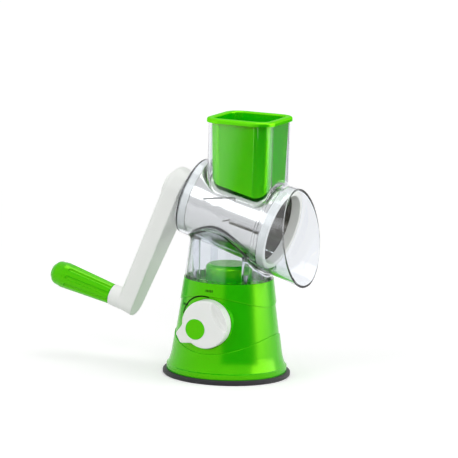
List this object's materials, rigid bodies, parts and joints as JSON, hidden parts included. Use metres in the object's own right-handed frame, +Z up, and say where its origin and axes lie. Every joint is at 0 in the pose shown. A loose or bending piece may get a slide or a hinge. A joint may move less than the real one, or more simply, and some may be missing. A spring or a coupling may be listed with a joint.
{
  "type": "rotary drum grater",
  "caption": "Hand-cranked drum grater with a clear feed chute and flared outlet, a green hollow pusher, a white crank with a green grip, and a green suction base locked by a white knob.",
  "frame": {"origin": "middle of the suction cup's flat underside, on the table", "axes": "+Z up, +X towards the outlet, -X towards the crank, -Y towards the lock knob"},
  "size_m": [0.2854, 0.13, 0.266],
  "materials": {
    "green": "gloss",
    "white": "satin",
    "clear": "clear",
    "steel": "bright",
    "rubber": "matt",
    "inner_plastic": "matt",
    "zinc": "plated"
  },
  "bodies": {
    "base": {"base_shell": "green", "base_frame": "inner_plastic", "frame_screws": "zinc", "housing": "clear", "housing_screws": "zinc", "drive_bush": "inner_plastic", "suction_cup": "rubber"},
    "knob": {"knob": "white", "knob_inlay": "green", "cam_shaft": "inner_plastic", "shaft_clip": "zinc"},
    "lift": {"lift_post": "inner_plastic", "spreader": "zinc"},
    "crank": {"crank_arm": "white", "drive_shaft": "inner_plastic", "snug_ring": "rubber", "crank_washer": "zinc", "crank_screw": "zinc", "hub_cap": "white", "grip_pin": "zinc", "grip_washer": "zinc", "grip_screw": "zinc"},
    "grip": {"grip": "green", "grip_cap": "green"},
    "drum": {"drum_sheet": "steel", "drum_front_ring": "white", "drum_back_ring": "white"},
    "pusher": {"pusher": "green"}
  },
  "joints": [
    {"name": "crank_spin", "type": "hinge", "parent": "base", "child": "crank", "pos_m": [0, 0, 0.169], "axis": [0.9659, 0, -0.2588], "continuous": true},
    {"name": "drum_pull", "type": "slide", "parent": "crank", "child": "drum", "axis": [0.9659, 0, -0.2588], "range_m": [0, 0.15]},
    {"name": "grip_spin", "type": "hinge", "parent": "crank", "child": "grip", "pos_m": [-0.0339, 0, 0.04246], "axis": [0.9659, 0, -0.2588], "continuous": true},
    {"name": "pusher_slide", "type": "slide", "parent": "base", "child": "pusher", "axis": [0, 0, 1], "range_m": [0, 0.09]},
    {"name": "knob_turn", "type": "hinge", "parent": "base", "child": "knob", "pos_m": [0, -0.0472, 0.06], "axis": [0, 1, 0], "range_deg": [0, 110]},
    {"name": "cup_lift", "type": "slide", "parent": "base", "child": "lift", "axis": [0, 0, 1], "range_m": [0, 0.00607], "deforming": ["suction_cup"]}
  ],
  "couplings": [
    {"joint": "cup_lift", "follows": "knob_turn", "m_per_rad": 0.0031574}
  ]
}
